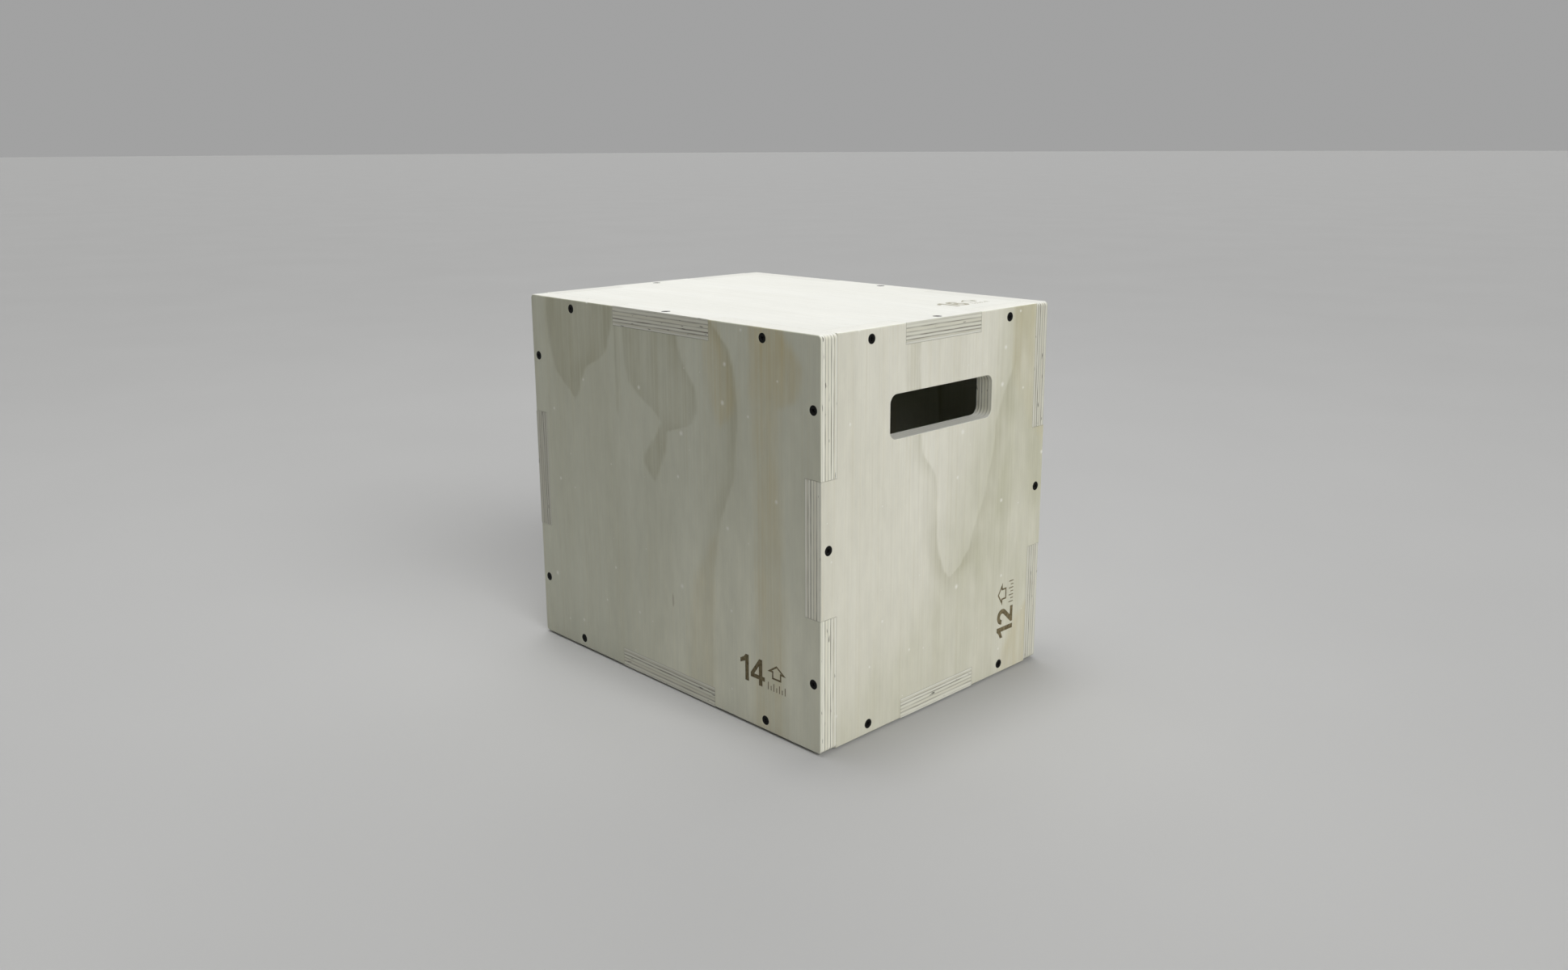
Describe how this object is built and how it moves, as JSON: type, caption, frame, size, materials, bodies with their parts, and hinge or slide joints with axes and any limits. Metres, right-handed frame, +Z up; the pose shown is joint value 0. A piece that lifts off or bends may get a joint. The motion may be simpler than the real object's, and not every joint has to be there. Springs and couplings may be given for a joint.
{
  "type": "plyo box",
  "caption": "Plywood plyometric box with finger-jointed, screwed edges and a hand hole in each end; turned onto different sides it gives different step and jump heights.",
  "frame": {"origin": "middle of the underside, on the floor", "axes": "+X along the length towards the right end with the 12 mark, +Y along the width towards the back, +Z up; the front with the 14 mark faces -Y"},
  "size_m": [0.4064, 0.3048, 0.3556],
  "materials": {
    "plywood": "sanded, unvarnished rotary-cut face veneer with open ply edges",
    "blackened_steel": "black phosphate on steel wood screws"
  },
  "bodies": {
    "root": {"back_bottom_screws": "blackened_steel", "back_left_screws": "blackened_steel", "back_panel": "plywood", "back_right_screws": "blackened_steel", "back_top_screws": "blackened_steel", "bottom_back_screw": "blackened_steel", "bottom_front_screw": "blackened_steel", "bottom_left_screw": "blackened_steel", "bottom_panel": "plywood", "bottom_right_screw": "blackened_steel", "front_bottom_screws": "blackened_steel", "front_left_screws": "blackened_steel", "front_panel": "plywood", "front_right_screws": "blackened_steel", "front_top_screws": "blackened_steel", "left_end_back_screw": "blackened_steel", "left_end_bottom_screws": "blackened_steel", "left_end_front_screw": "blackened_steel", "left_end_panel": "plywood", "left_end_top_screws": "blackened_steel", "right_end_back_screw": "blackened_steel", "right_end_bottom_screws": "blackened_steel", "right_end_front_screw": "blackened_steel", "right_end_panel": "plywood", "right_end_top_screws": "blackened_steel", "top_back_screw": "blackened_steel", "top_front_screw": "blackened_steel", "top_left_screw": "blackened_steel", "top_panel": "plywood", "top_right_screw": "blackened_steel"}
  },
  "joints": []
}
